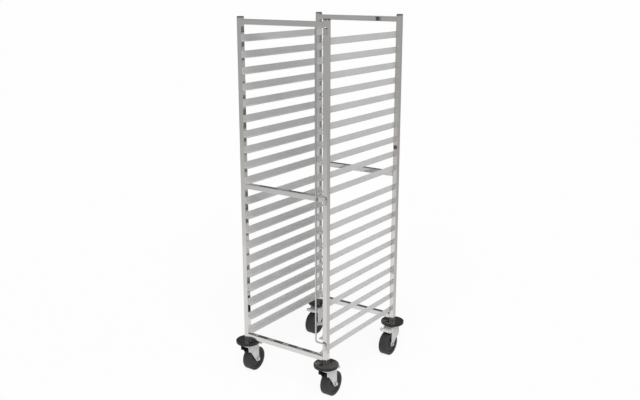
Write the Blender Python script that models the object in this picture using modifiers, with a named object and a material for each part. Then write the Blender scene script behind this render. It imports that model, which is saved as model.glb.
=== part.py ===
"""A mobile rack for full-size sheet pans: two welded tube frames, forty L-shaped runners, a swinging
tray-stop bail, and four swivel casters with round bumpers and brake pedals.

Metres, +Z up. The origin is on the floor under the middle of the rack, +X is to the right seen from the
front, and the front, where the bail hangs, faces -Y.
"""

import math

import bmesh
import bpy
from mathutils import Matrix, Vector

OBJECT_NAME = "sheet_pan_rack"

# Frames: square tube, welded.
FRAME_WIDTH = 0.514
FRAME_DEPTH = 0.667
TUBE_SIDE = 0.0254
TUBE_WALL = 0.0012
BAR_SIDE = 0.025
BAR_WALL = 0.0012
CORNER_RADIUS = 0.0025
CAP_HEIGHT = 0.006
CAP_TOP_SIDE = 0.0215
TOP_BAR_DROP = 0.0064
MIDDLE_BAR_GAP = 0.0007
BOTTOM_BAR_LIFT = 0.0134

# Runners, counted from the bottom up.
RUNNERS_BELOW_MIDDLE = 10
RUNNERS_ABOVE_MIDDLE = 10
RUNNER_PITCH = 0.076
MIDDLE_EXTRA = 0.026
LOWEST_RUNNER_LIFT = 0.0476
HIGHEST_RUNNER_DROP = 0.0774
RUNNER_LEG = 0.032
RUNNER_FLANGE = 0.026
RUNNER_SHEET = 0.0012
RUNNER_BEND_RADIUS = 0.0018
RUNNER_END_INSET = 0.0005

# Tray-stop bail and the eyes it drops into.
BAIL_DIAMETER = 0.008
BAIL_ARM_DIAMETER = 0.0075
BAIL_REACH = 0.0535
BAIL_BEND_RADIUS = 0.008
BAIL_TOP_DROP = 0.0305
BAIL_FOOT_LIFT = 0.109
BAIL_PIN_INSET = 0.002
EYE_DIAMETER = 0.013
EYE_HEIGHT = 0.025
EYE_WELD_DEPTH = 0.0005
EYE_BORE_CLEARANCE = 0.0004

# Wheels and forks, measured from the swivel axis towards the trailing side.
WHEEL_DIAMETER = 0.125
WHEEL_WIDTH = 0.046
TREAD_SHOULDER = 0.0025
RIM_DIAMETER = 0.092
RIM_RECESS = 0.004
HUB_DIAMETER = 0.034
HUB_OVERHANG = 0.0008
CASTER_TRAIL = 0.043
AXLE_DIAMETER = 0.012
AXLE_CLEARANCE = 0.0004
AXLE_HEAD_WIDTH = 0.019
AXLE_HEAD_HEIGHT = 0.009
HUB_SIDE_GAP = 0.0008
FORK_SHEET = 0.003
FORK_BEND_RADIUS = 0.005
FORK_LEAD = 0.028
FORK_TAIL = 0.0115
FORK_FOOT_RADIUS = 0.0135
FORK_LIP = 0.0075
FORK_LIP_INSET = 0.0005
FORK_SHOULDER_HEIGHT = 0.029
FORK_SHOULDER_LENGTH = 0.0185
FORK_SHOULDER_DROP = 0.0088
REAR_TAIL = 0.0055
REAR_SHOULDER_HEIGHT = 0.0545
REAR_SHOULDER_LENGTH = 0.036
REAR_SHOULDER_DROP = 0.021
CROWN_HEADROOM = 0.0295
HEAD_DIAMETER = 0.068
HEAD_HEIGHT = 0.0079
KINGPIN_DIAMETER = 0.012
KINGPIN_CLEARANCE = 0.0004
KINGPIN_INSET = 0.003

# Brake pedals.
PEDAL_SHEET = 0.003
PEDAL_PIN_DIAMETER = 0.008
PEDAL_PIN_OFFSET = 0.014
PEDAL_PIN_DROP = 0.005
PEDAL_HEEL = 0.010
PEDAL_REACH = 0.0315
PEDAL_PAD_LENGTH = 0.014
PEDAL_PAD_WIDTH = 0.068
PEDAL_LIP = 0.013
PEDAL_FLANGE = 0.012
PEDAL_FLANGE_INSET = 0.0005
PEDAL_BEND_RADIUS = 0.0045
PEDAL_SIDE_GAP = 0.0015
SHOE_LENGTH = 0.012
SHOE_WIDTH = 0.030
SHOE_CLEARANCE = 0.0075

# Bumpers.
BUMPER_DIAMETER = 0.1235
BUMPER_HEIGHT = 0.0145
BUMPER_ROUND = 0.003
PLUG_LENGTH = 0.035
PLUG_CLEARANCE = 0.0003

# Pieces that touch are modelled this far apart.
SEAT_GAP = 0.0003

# Joined shapes reach this far into each other, and cutters this far past the surface they cut.
OVERLAP = 0.001

ROUND_STEPS = 24
WHEEL_STEPS = 36
ARC_STEPS = 4
BEND_STEPS = 4
CAP_STEPS = 3

# Heights and places that follow from the sizes above.
RUNNER_COUNT = RUNNERS_BELOW_MIDDLE + RUNNERS_ABOVE_MIDDLE
WHEEL_RADIUS = WHEEL_DIAMETER / 2
CROWN_Z = WHEEL_DIAMETER + CROWN_HEADROOM
HEAD_Z = CROWN_Z + FORK_SHEET
BUMPER_Z = HEAD_Z + HEAD_HEIGHT + SEAT_GAP
BUMPER_TOP_Z = BUMPER_Z + BUMPER_HEIGHT
FOOT_Z = BUMPER_TOP_Z + SEAT_GAP
LOWEST_RUNNER_Z = FOOT_Z + LOWEST_RUNNER_LIFT
MIDDLE_RUNNER_Z = LOWEST_RUNNER_Z + RUNNERS_BELOW_MIDDLE * RUNNER_PITCH + MIDDLE_EXTRA
HIGHEST_RUNNER_Z = MIDDLE_RUNNER_Z + (RUNNERS_ABOVE_MIDDLE - 1) * RUNNER_PITCH
TUBE_TOP_Z = HIGHEST_RUNNER_Z + RUNNER_LEG + HIGHEST_RUNNER_DROP
TOP_BAR_Z = TUBE_TOP_Z - TOP_BAR_DROP - BAR_SIDE / 2
MIDDLE_BAR_Z = MIDDLE_RUNNER_Z - MIDDLE_BAR_GAP - BAR_SIDE / 2
BOTTOM_BAR_Z = FOOT_Z + BOTTOM_BAR_LIFT + BAR_SIDE / 2
UPRIGHT_X = (FRAME_WIDTH - TUBE_SIDE) / 2
UPRIGHT_Y = (FRAME_DEPTH - TUBE_SIDE) / 2
RUNNER_X = FRAME_WIDTH / 2 - TUBE_SIDE - SEAT_GAP
FORK_INNER = WHEEL_WIDTH / 2 + HUB_OVERHANG + HUB_SIDE_GAP
FORK_OUTER = FORK_INNER + FORK_SHEET
PEDAL_PIN_Z = CROWN_Z - PEDAL_PIN_DROP
BAIL_X = FRAME_WIDTH / 2 - EYE_DIAMETER / 2
BAIL_Y = -FRAME_DEPTH / 2 - EYE_DIAMETER / 2 + EYE_WELD_DEPTH
BAIL_ARM_HEIGHTS = (FOOT_Z + BAIL_FOOT_LIFT, MIDDLE_BAR_Z + BAR_SIDE / 2, TUBE_TOP_Z - BAIL_TOP_DROP)
BAIL_PIN_LENGTH = BAIL_BEND_RADIUS + SEAT_GAP + EYE_HEIGHT - BAIL_PIN_INSET

STANDING_Z = Matrix.Identity(4)
ALONG_X = Matrix.Rotation(math.pi / 2, 4, "Y")
ALONG_Y = Matrix.Rotation(math.pi / 2, 4, "X")
SIDEWAYS = Matrix.Rotation(math.pi / 2, 4, "Z") @ ALONG_Y


def clear_scene():
    for obj in list(bpy.data.objects):
        bpy.data.objects.remove(obj)


def collection(name):
    made = bpy.data.collections.new(name)
    bpy.context.scene.collection.children.link(made)
    return made


def principled(name, colour, roughness, metallic):
    material = bpy.data.materials.new(name)
    material.use_nodes = True
    shader = material.node_tree.nodes["Principled BSDF"]
    shader.inputs["Base Color"].default_value = (*colour, 1.0)
    shader.inputs["Roughness"].default_value = roughness
    shader.inputs["Metallic"].default_value = metallic
    return material


def place(name, mesh, material, group):
    """A new object of this mesh in a collection."""
    obj = bpy.data.objects.new(name, mesh)
    group.objects.link(obj)
    if not mesh.materials:
        mesh.materials.append(material)
    return obj


def helper(name, mesh):
    """An object that only cuts or joins others."""
    obj = bpy.data.objects.new(name, mesh)
    HELPERS.objects.link(obj)
    obj.hide_render = True
    obj.display_type = "WIRE"
    return obj


def mesh_from(shape, name):
    mesh = bpy.data.meshes.new(name)
    shape.to_mesh(mesh)
    shape.free()
    return mesh


def box(name, size, centre):
    shape = bmesh.new()
    bmesh.ops.create_cube(shape, size=1.0)
    bmesh.ops.scale(shape, vec=Vector(size), verts=shape.verts)
    bmesh.ops.translate(shape, vec=Vector(centre), verts=shape.verts)
    return mesh_from(shape, name)


def cylinder(name, diameter, length, centre, turn=STANDING_Z, sides=ROUND_STEPS):
    shape = bmesh.new()
    bmesh.ops.create_cone(
        shape,
        cap_ends=True,
        segments=sides,
        radius1=diameter / 2,
        radius2=diameter / 2,
        depth=length,
        matrix=Matrix.Translation(centre) @ turn,
    )
    return mesh_from(shape, name)


def square_tube(name, side, start, end):
    """A solid square bar between two points, with its long edges rounded."""
    run = Vector(end) - Vector(start)
    lengthwise = max(range(3), key=lambda axis: abs(run[axis]))
    size = [side, side, side]
    size[lengthwise] = run.length
    shape = bmesh.new()
    bmesh.ops.create_cube(shape, size=1.0)
    bmesh.ops.scale(shape, vec=Vector(size), verts=shape.verts)
    long_edges = [
        edge
        for edge in shape.edges
        if abs((edge.verts[0].co - edge.verts[1].co)[lengthwise]) > run.length / 2
    ]
    bmesh.ops.bevel(
        shape,
        geom=long_edges,
        offset=CORNER_RADIUS,
        segments=ARC_STEPS,
        affect="EDGES",
        profile=0.5,
    )
    bmesh.ops.translate(shape, vec=(Vector(start) + Vector(end)) / 2, verts=shape.verts)
    return mesh_from(shape, name)


def evaluated_mesh(obj, name):
    """What an object looks like with its modifiers or its bevel, as a welded mesh in world space."""
    bpy.context.view_layer.update()
    graph = bpy.context.evaluated_depsgraph_get()
    mesh = bpy.data.meshes.new_from_object(obj.evaluated_get(graph), depsgraph=graph)
    mesh.name = name
    shape = bmesh.new()
    shape.from_mesh(mesh)
    bmesh.ops.remove_doubles(shape, verts=shape.verts, dist=1e-6)
    bmesh.ops.transform(shape, matrix=obj.matrix_world, verts=shape.verts)
    shape.to_mesh(mesh)
    shape.free()
    return mesh


def curve_mesh(name, curve, turn):
    """Turns a curve into a mesh, and removes the curve."""
    obj = bpy.data.objects.new(name, curve)
    HELPERS.objects.link(obj)
    obj.matrix_world = turn
    mesh = evaluated_mesh(obj, name)
    mesh.materials.clear()
    bpy.data.objects.remove(obj)
    bpy.data.curves.remove(curve)
    return mesh


def polyline(curve, points, cyclic):
    spline = curve.splines.new("POLY")
    spline.points.add(len(points) - 1)
    for point, place_of in zip(spline.points, points):
        point.co = (*Vector(place_of).to_3d(), 1.0)
    spline.use_cyclic_u = cyclic


def sheet(name, outline, thickness, turn=STANDING_Z):
    """A flat outline in XY, thickened both ways from its plane, then turned."""
    curve = bpy.data.curves.new(name, "CURVE")
    curve.dimensions = "2D"
    curve.fill_mode = "BOTH"
    curve.extrude = thickness / 2
    polyline(curve, outline, cyclic=True)
    return curve_mesh(name, curve, turn)


def rod(name, path, diameter):
    curve = bpy.data.curves.new(name, "CURVE")
    curve.dimensions = "3D"
    curve.bevel_depth = diameter / 2
    curve.bevel_resolution = 4
    curve.use_fill_caps = True
    polyline(curve, path, cyclic=False)
    return curve_mesh(name, curve, STANDING_Z)


def turned(name, profile, steps, start_angle=0.0):
    """A closed profile of (radius, height) points turned about Z."""
    shape = bmesh.new()
    corners = [
        shape.verts.new((radius * math.cos(start_angle), radius * math.sin(start_angle), height))
        for radius, height in profile
    ]
    for corner, following in zip(corners, corners[1:] + corners[:1]):
        shape.edges.new((corner, following))
    obj = helper(name, mesh_from(shape, name))
    screw = obj.modifiers.new("turn", "SCREW")
    screw.axis = "Z"
    screw.steps = steps
    screw.render_steps = steps
    screw.use_merge_vertices = True
    screw.merge_threshold = 1e-5
    screw.use_smooth_shade = True
    mesh = evaluated_mesh(obj, name)
    bpy.data.objects.remove(obj)
    return mesh


def arc(centre, radius, start, end, steps=ARC_STEPS):
    """Points on an arc in a plane, angles in radians, both ends included."""
    angles = [start + (end - start) * step / steps for step in range(steps + 1)]
    return [
        (centre[0] + radius * math.cos(angle), centre[1] + radius * math.sin(angle)) for angle in angles
    ]


def combine(obj, others, operation):
    for other in others:
        step = obj.modifiers.new(f"{operation.lower()} {other.name}", "BOOLEAN")
        step.operation = operation
        step.solver = "EXACT"
        step.object = other


def joined(name, first, others, trims=(), cutters=()):
    """One mesh: the first one trimmed to others and cut by cutters, then joined with overlapping ones."""
    whole = helper(name, first)
    combine(whole, [helper(mesh.name, mesh) for mesh in trims], "INTERSECT")
    combine(whole, [helper(mesh.name, mesh) for mesh in cutters], "DIFFERENCE")
    combine(whole, [helper(mesh.name, mesh) for mesh in others], "UNION")
    return evaluated_mesh(whole, name)


def shade(mesh):
    mesh.shade_smooth()
    mesh.set_sharp_from_angle(angle=math.radians(35))


def upright(name, x, y):
    """A solid upright, its top drawn in step by step to a flat cap with a rounded edge."""
    shape = bmesh.new()
    shape.from_mesh(square_tube(name, TUBE_SIDE, (x, y, FOOT_Z), (x, y, TUBE_TOP_Z)))
    top = max(shape.faces, key=lambda face: face.calc_center_median().z)
    about_middle = Matrix.Translation((-x, -y, 0))
    side, height = TUBE_SIDE, 0.0
    for step in range(1, CAP_STEPS + 1):
        angle = math.pi / 2 * step / CAP_STEPS
        next_side = CAP_TOP_SIDE + (TUBE_SIDE - CAP_TOP_SIDE) * math.cos(angle)
        next_height = CAP_HEIGHT * math.sin(angle)
        top = bmesh.ops.extrude_discrete_faces(shape, faces=[top])["faces"][0]
        bmesh.ops.translate(shape, vec=(0, 0, next_height - height), verts=top.verts)
        drawn_in = next_side / side
        bmesh.ops.scale(shape, vec=(drawn_in, drawn_in, 1), space=about_middle, verts=top.verts)
        side, height = next_side, next_height
    return mesh_from(shape, name)


def frame(name, y, material, eyes):
    """Two uprights and three cross bars of hollow tube, with any hinge eyes welded on the front."""
    outside = [upright("upright", UPRIGHT_X, y)]
    inside = []
    for height in (TOP_BAR_Z, MIDDLE_BAR_Z, BOTTOM_BAR_Z):
        ends = ((-UPRIGHT_X, y, height), (UPRIGHT_X, y, height))
        outside.append(square_tube("cross bar", BAR_SIDE, *ends))
        bore = BAR_SIDE - 2 * BAR_WALL
        inside.append(box("bar bore", (2 * UPRIGHT_X, bore, bore), (0, y, height)))
    bore = TUBE_SIDE - 2 * TUBE_WALL
    bore_top, bore_foot = TUBE_TOP_Z, FOOT_Z - OVERLAP
    for x in (-UPRIGHT_X, UPRIGHT_X):
        middle = (x, y, (bore_top + bore_foot) / 2)
        inside.append(box("upright bore", (bore, bore, bore_top - bore_foot), middle))
    for height in eyes:
        middle = (BAIL_X, BAIL_Y, height - BAIL_BEND_RADIUS - SEAT_GAP - EYE_HEIGHT / 2)
        bore = BAIL_DIAMETER + 2 * EYE_BORE_CLEARANCE
        outside.append(cylinder("hinge eye", EYE_DIAMETER, EYE_HEIGHT, middle))
        inside.append(cylinder("eye bore", bore, EYE_HEIGHT + 2 * OVERLAP, middle))
    obj = place(name, upright(name, -UPRIGHT_X, y), material, PARTS)
    combine(obj, [helper(mesh.name, mesh) for mesh in outside], "UNION")
    combine(obj, [helper(mesh.name, mesh) for mesh in inside], "DIFFERENCE")
    return obj


def runner_mesh():
    """The L section, leg up at x = 0 and flange towards +X, drawn out along Y about its middle."""
    outer = RUNNER_BEND_RADIUS + RUNNER_SHEET
    section = [(0, RUNNER_LEG)]
    section += arc((outer, outer), outer, math.pi, 1.5 * math.pi)
    section += [(RUNNER_FLANGE, 0), (RUNNER_FLANGE, RUNNER_SHEET)]
    section += arc((outer, outer), RUNNER_BEND_RADIUS, 1.5 * math.pi, math.pi)
    section += [(RUNNER_SHEET, RUNNER_LEG)]
    return sheet("runner", section, FRAME_DEPTH - 2 * RUNNER_END_INSET, ALONG_Y)


def runners(material):
    mesh = runner_mesh()
    shade(mesh)
    for level in range(RUNNER_COUNT):
        height = LOWEST_RUNNER_Z + level * RUNNER_PITCH
        if level >= RUNNERS_BELOW_MIDDLE:
            height += MIDDLE_EXTRA
        for side, x, turn in (("left", -RUNNER_X, 0.0), ("right", RUNNER_X, math.pi)):
            obj = place(f"runner_{side}_{level + 1:02d}", mesh, material, PARTS)
            obj.location = (x, 0, height)
            obj.rotation_euler.z = turn


def bend(corner, arriving, leaving):
    """Points round a right-angle bend in XZ, from one unit direction to the next."""
    start = Vector(corner) - BAIL_BEND_RADIUS * Vector(arriving)
    centre = start + BAIL_BEND_RADIUS * Vector(leaving)
    points = []
    for step in range(BEND_STEPS + 1):
        angle = math.pi / 2 * step / BEND_STEPS
        across = -BAIL_BEND_RADIUS * math.cos(angle) * Vector(leaving)
        along = BAIL_BEND_RADIUS * math.sin(angle) * Vector(arriving)
        point = centre + across + along
        points.append((point.x, 0, point.y))
    return points


def bail(material):
    """A rod bent into a C, with a third arm at the middle: each arm's end drops into an eye."""
    low, middle, high = BAIL_ARM_HEIGHTS
    in_, out, up, down = (-1, 0), (1, 0), (0, 1), (0, -1)
    path = [(0, 0, high - BAIL_PIN_LENGTH)]
    path += bend((0, high), up, in_)
    path += bend((-BAIL_REACH, high), in_, down)
    path += bend((-BAIL_REACH, low), down, out)
    path += bend((0, low), out, down)
    path += [(0, 0, low - BAIL_PIN_LENGTH)]
    arm = [(-BAIL_REACH, 0, middle)]
    arm += bend((0, middle), out, down)
    arm += [(0, 0, middle - BAIL_PIN_LENGTH)]
    mesh = joined("bail", rod("bail rod", path, BAIL_DIAMETER), [rod("bail arm", arm, BAIL_ARM_DIAMETER)])
    shade(mesh)
    obj = place("tray_stop_bail", mesh, material, PARTS)
    obj.location = (BAIL_X, BAIL_Y, 0)


def bumper_mesh():
    """A flat disc with rounded edges, the upright's plug on it, and the kingpin's bore through both."""
    rim = BUMPER_DIAMETER / 2
    plug = TUBE_SIDE / 2 - TUBE_WALL - PLUG_CLEARANCE
    bore = KINGPIN_DIAMETER / 2 + KINGPIN_CLEARANCE
    plug_top = FOOT_Z + PLUG_LENGTH
    turn = rim - BUMPER_ROUND
    profile = [(bore, plug_top), (plug, plug_top), (plug, BUMPER_TOP_Z)]
    profile += arc((turn, BUMPER_TOP_Z - BUMPER_ROUND), BUMPER_ROUND, math.pi / 2, 0, 3)
    profile += arc((turn, BUMPER_Z + BUMPER_ROUND), BUMPER_ROUND, 0, -math.pi / 2, 3)
    profile += [(bore, BUMPER_Z)]
    return turned("bumper", profile, ROUND_STEPS)


def wheel_mesh():
    """A plain tyred wheel about Z: each radius is measured to the middle of a facet."""
    half_step = math.pi / WHEEL_STEPS
    hub = WHEEL_WIDTH / 2 + HUB_OVERHANG
    tyre = WHEEL_WIDTH / 2
    web = tyre - RIM_RECESS
    shoulder = (WHEEL_RADIUS - TREAD_SHOULDER, tyre - TREAD_SHOULDER)
    bore = AXLE_DIAMETER / 2 + AXLE_CLEARANCE
    half = [(bore, hub), (HUB_DIAMETER / 2, hub), (HUB_DIAMETER / 2 + RIM_RECESS, web)]
    half += [(RIM_DIAMETER / 2 - RIM_RECESS, web), (RIM_DIAMETER / 2, tyre)]
    half += arc(shoulder, TREAD_SHOULDER, math.pi / 2, 0, 3)
    profile = half + [(radius, -height) for radius, height in reversed(half)]
    profile = [(radius / math.cos(half_step), height) for radius, height in profile]
    return turned("wheel", profile, WHEEL_STEPS, half_step)


def fork_channel():
    """The pressed sheet before its sides are cut out: an upside-down U along Y."""
    low = -OVERLAP
    bend_out = FORK_BEND_RADIUS
    bend_in = FORK_BEND_RADIUS - FORK_SHEET
    turn_x = FORK_OUTER - FORK_BEND_RADIUS
    turn_z = HEAD_Z - FORK_BEND_RADIUS
    section = [(FORK_OUTER, low)]
    section += arc((turn_x, turn_z), bend_out, 0, math.pi / 2)
    section += arc((-turn_x, turn_z), bend_out, math.pi / 2, math.pi)
    section += [(-FORK_OUTER, low), (-FORK_INNER, low)]
    section += arc((-turn_x, turn_z), bend_in, math.pi, math.pi / 2)
    section += arc((turn_x, turn_z), bend_in, math.pi / 2, 0)
    section += [(FORK_INNER, low)]
    return sheet("fork channel", section, 4 * (CASTER_TRAIL + FORK_LEAD), ALONG_Y)


def fork_side(tail, shoulder_height, shoulder_length, shoulder_drop):
    """The fork from the side: a broad shoulder in front, tapering back to a round foot at the axle."""
    axle = (CASTER_TRAIL, WHEEL_RADIUS)
    shoulder_z = CROWN_Z - shoulder_height
    above = HEAD_Z + OVERLAP
    step = Vector((-FORK_LEAD + shoulder_length, shoulder_z - shoulder_drop))
    to_axle = Vector(axle) - step
    tangent = math.atan2(to_axle.y, to_axle.x) - math.asin(FORK_FOOT_RADIUS / to_axle.length)
    ending = math.acos(min(1.0, tail / FORK_FOOT_RADIUS))
    outline = [(-FORK_LEAD, above), (-FORK_LEAD, shoulder_z), tuple(step)]
    outline += arc(axle, FORK_FOOT_RADIUS, tangent - math.pi / 2, ending, 2 * ARC_STEPS)
    outline += [(CASTER_TRAIL + tail, above)]
    return sheet("fork side", outline, 2 * FORK_OUTER + 2 * OVERLAP, SIDEWAYS)


def fork_mesh(side_sheet):
    """Crown and legs pressed to one side outline, with the swivel head, kingpin, front lip and axle."""
    kingpin_top = FOOT_Z + PLUG_LENGTH - KINGPIN_INSET
    kingpin_foot = CROWN_Z + OVERLAP
    kingpin_middle = (0, 0, (kingpin_top + kingpin_foot) / 2)
    axle_length = 2 * FORK_INNER + FORK_SHEET
    head_middle = (0, 0, HEAD_Z + (HEAD_HEIGHT - OVERLAP) / 2)
    lip_size = (2 * FORK_INNER + 2 * OVERLAP, FORK_SHEET, FORK_LIP + OVERLAP)
    lip_middle = (0, -FORK_LEAD + FORK_LIP_INSET + FORK_SHEET / 2, CROWN_Z + OVERLAP - lip_size[2] / 2)
    pieces = [
        cylinder("swivel head", HEAD_DIAMETER, HEAD_HEIGHT + OVERLAP, head_middle),
        cylinder("kingpin", KINGPIN_DIAMETER, kingpin_top - kingpin_foot, kingpin_middle),
        cylinder("axle", AXLE_DIAMETER, axle_length, (0, CASTER_TRAIL, WHEEL_RADIUS), ALONG_X),
        box("fork lip", lip_size, lip_middle),
    ]
    bolt_length = AXLE_HEAD_HEIGHT + OVERLAP
    for side in (-1, 1):
        bolt_x = side * (FORK_OUTER - OVERLAP + bolt_length / 2)
        bolt_middle = (bolt_x, CASTER_TRAIL, WHEEL_RADIUS)
        pieces.append(cylinder("axle end", AXLE_HEAD_WIDTH, bolt_length, bolt_middle, ALONG_X, sides=6))
    return joined("fork", fork_channel(), pieces, trims=[side_sheet])


def pedal_mesh():
    """A pedal about its pin: tongue between the fork legs, pad with its edges turned down, shoe below."""
    half = PEDAL_SHEET / 2
    back = CASTER_TRAIL + PEDAL_REACH - PEDAL_PIN_OFFSET
    pad_front = back - PEDAL_PAD_LENGTH
    bend_at = (back - PEDAL_BEND_RADIUS, half - PEDAL_BEND_RADIUS)
    section = [(-PEDAL_HEEL, half)]
    section += arc(bend_at, PEDAL_BEND_RADIUS, math.pi / 2, 0)
    section += [(back, -PEDAL_LIP), (back - PEDAL_SHEET, -PEDAL_LIP)]
    section += [(back - PEDAL_SHEET, -half), (-PEDAL_HEEL, -half)]
    tongue = FORK_INNER - PEDAL_SIDE_GAP
    notch_width = PEDAL_PAD_WIDTH / 2 + OVERLAP - tongue
    notch_length = pad_front + PEDAL_HEEL + OVERLAP
    notch_size = (notch_width, notch_length, PEDAL_SHEET + 2 * OVERLAP)
    notches = [
        box("pedal notch", notch_size, (side * (tongue + notch_width / 2), pad_front - notch_length / 2, 0))
        for side in (-1, 1)
    ]
    flange_length = PEDAL_PAD_LENGTH - PEDAL_FLANGE_INSET - PEDAL_SHEET / 2
    flange_x = (PEDAL_PAD_WIDTH - PEDAL_SHEET) / 2 - PEDAL_FLANGE_INSET
    flange_y = pad_front + PEDAL_FLANGE_INSET + flange_length / 2
    flange_size = (PEDAL_SHEET, flange_length, PEDAL_FLANGE)
    flanges = [
        box("pedal flange", flange_size, (side * flange_x, flange_y, -PEDAL_FLANGE / 2))
        for side in (-1, 1)
    ]
    shoe_height = PEDAL_PIN_Z - WHEEL_DIAMETER - SHOE_CLEARANCE
    shoe_middle = (0, CASTER_TRAIL - PEDAL_PIN_OFFSET, -shoe_height / 2)
    pieces = [
        box("brake shoe", (SHOE_WIDTH, SHOE_LENGTH, shoe_height), shoe_middle),
        cylinder("pedal pin", PEDAL_PIN_DIAMETER, 2 * (FORK_INNER - SEAT_GAP), (0, 0, 0), ALONG_X),
        *flanges,
    ]
    plate = sheet("pedal plate", section, PEDAL_PAD_WIDTH, SIDEWAYS)
    return joined("pedal", plate, pieces, cutters=notches)


def casters(materials):
    """Front casters trail to the back and back casters to the front, as the rack was parked."""
    meshes = {
        "bumper": bumper_mesh(),
        "wheel": wheel_mesh(),
        "brake_pedal": pedal_mesh(),
    }
    front_side = fork_side(FORK_TAIL, FORK_SHOULDER_HEIGHT, FORK_SHOULDER_LENGTH, FORK_SHOULDER_DROP)
    rear_side = fork_side(REAR_TAIL, REAR_SHOULDER_HEIGHT, REAR_SHOULDER_LENGTH, REAR_SHOULDER_DROP)
    forks = {"front": fork_mesh(front_side), "rear": fork_mesh(rear_side)}
    for mesh in (*meshes.values(), *forks.values()):
        shade(mesh)
    for end, y, turn in (("front", -UPRIGHT_Y, 0.0), ("rear", UPRIGHT_Y, math.pi)):
        for side, x in (("left", -UPRIGHT_X), ("right", UPRIGHT_X)):
            pivot = bpy.data.objects.new(f"caster_pivot_{end}_{side}", None)
            PARTS.objects.link(pivot)
            pivot.location = (x, y, 0)
            pivot.rotation_euler.z = turn
            for kind, mesh in {"fork": forks[end], **meshes}.items():
                obj = place(f"{kind}_{end}_{side}", mesh, materials[kind], PARTS)
                obj.parent = pivot
                if kind == "wheel":
                    obj.location = (0, CASTER_TRAIL, WHEEL_RADIUS)
                    obj.rotation_euler.y = math.pi / 2
                elif kind == "brake_pedal":
                    obj.location = (0, PEDAL_PIN_OFFSET, PEDAL_PIN_Z)


def main():
    steel = principled("brushed stainless steel", (0.44, 0.44, 0.43), 0.3, 1.0)
    bright = principled("polished stainless rod", (0.55, 0.55, 0.54), 0.2, 1.0)
    plated = principled("zinc-plated pressed steel", (0.5, 0.5, 0.5), 0.35, 1.0)
    rubber = principled("dark grey tyre", (0.045, 0.045, 0.047), 0.6, 0.0)
    plastic = principled("black bumper plastic", (0.03, 0.03, 0.03), 0.35, 0.0)
    frame("front_frame", -UPRIGHT_Y, steel, BAIL_ARM_HEIGHTS)
    frame("rear_frame", UPRIGHT_Y, steel, ())
    runners(steel)
    bail(bright)
    casters({"bumper": plastic, "fork": plated, "wheel": rubber, "brake_pedal": plated})


clear_scene()
PARTS = collection(OBJECT_NAME)
HELPERS = collection("cutters")
main()
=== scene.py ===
"""Looks for the sheet pan rack: polished tube frames, brushed runners, a bright tray-stop bail and four
swivel casters under black bumpers, on a plain white floor.

Metres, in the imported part's frame: +Z up, the front faces -Y, and +X is to the right seen from the front.
"""

import math

import bmesh
import bpy
from mathutils import Matrix, Vector


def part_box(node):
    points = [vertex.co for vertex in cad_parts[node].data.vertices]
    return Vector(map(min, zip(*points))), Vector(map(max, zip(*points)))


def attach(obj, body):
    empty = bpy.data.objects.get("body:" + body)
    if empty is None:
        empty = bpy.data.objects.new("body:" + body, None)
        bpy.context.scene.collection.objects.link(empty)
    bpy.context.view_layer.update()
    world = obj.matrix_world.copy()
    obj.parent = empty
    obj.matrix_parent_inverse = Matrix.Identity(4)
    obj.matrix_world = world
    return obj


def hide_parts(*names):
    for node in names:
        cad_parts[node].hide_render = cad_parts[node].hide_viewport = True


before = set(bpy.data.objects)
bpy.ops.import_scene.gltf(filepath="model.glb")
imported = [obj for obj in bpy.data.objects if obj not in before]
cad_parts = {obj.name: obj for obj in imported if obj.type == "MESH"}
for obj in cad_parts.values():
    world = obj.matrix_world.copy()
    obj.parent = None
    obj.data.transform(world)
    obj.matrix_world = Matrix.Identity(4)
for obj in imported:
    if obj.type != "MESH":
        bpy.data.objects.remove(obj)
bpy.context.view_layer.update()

# Sizes that these pieces share with the solids.
BAR_SIDE = 0.025
CORNER_RADIUS = 0.0025
CAP_HEIGHT = 0.006
CAP_TOP_SIDE = 0.0215
TOP_BAR_DROP = 0.0064
MIDDLE_BAR_GAP = 0.0007
BOTTOM_BAR_LIFT = 0.0134
RUNNER_COUNT = 20
RUNNER_SHEET = 0.0012
RUNNER_BEND_RADIUS = 0.0018
BAIL_RADIUS = 0.004
BAIL_ARM_RADIUS = 0.00375
BAIL_REACH = 0.0535
BAIL_BEND_RADIUS = 0.008
BAIL_PIN_LENGTH = 0.0313
EYE_DIAMETER = 0.013
EYE_HEIGHT = 0.025
EYE_BORE = 0.0088
EYE_DROP = 0.0083
WHEEL_WIDTH = 0.046
TREAD_SHOULDER = 0.0025
HUB_DIAMETER = 0.034
HUB_OVERHANG = 0.0008
CASTER_TRAIL = 0.043
AXLE_HEAD_WIDTH = 0.019
AXLE_HEAD_HEIGHT = 0.009
FORK_INNER = 0.0246
FORK_SHEET = 0.003
FORK_OUTER = FORK_INNER + FORK_SHEET
FORK_BEND_RADIUS = 0.005
FORK_LEAD = 0.028
FORK_FOOT_RADIUS = 0.0135
FORK_LIP = 0.0075
FORK_LIP_INSET = 0.0005
HEAD_DIAMETER = 0.068
HEAD_HEIGHT = 0.0079
CROWN_HEADROOM = 0.0295
PEDAL_SHEET = 0.003
PEDAL_PIN_OFFSET = 0.014
PEDAL_PIN_DROP = 0.005
PEDAL_PIN_RADIUS = 0.004
PEDAL_HEEL = 0.010
PEDAL_REACH = 0.0315
PEDAL_PAD_LENGTH = 0.014
PEDAL_PAD_WIDTH = 0.068
PEDAL_LIP = 0.013
PEDAL_FLANGE = 0.012
PEDAL_FLANGE_INSET = 0.0005
PEDAL_BEND_RADIUS = 0.0045
PEDAL_SIDE_GAP = 0.0015
SHOE_LENGTH = 0.012
SHOE_WIDTH = 0.030
SHOE_CLEARANCE = 0.0075
BUMPER_DIAMETER = 0.1235
BUMPER_HEIGHT = 0.0145
BUMPER_ROUND = 0.003

# The forks of each end: the tail behind the axle, then the shoulder's height, length and drop.
FORK_SIDES = {"front": (0.0115, 0.029, 0.0185, 0.0088), "rear": (0.0055, 0.0545, 0.036, 0.021)}

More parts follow.
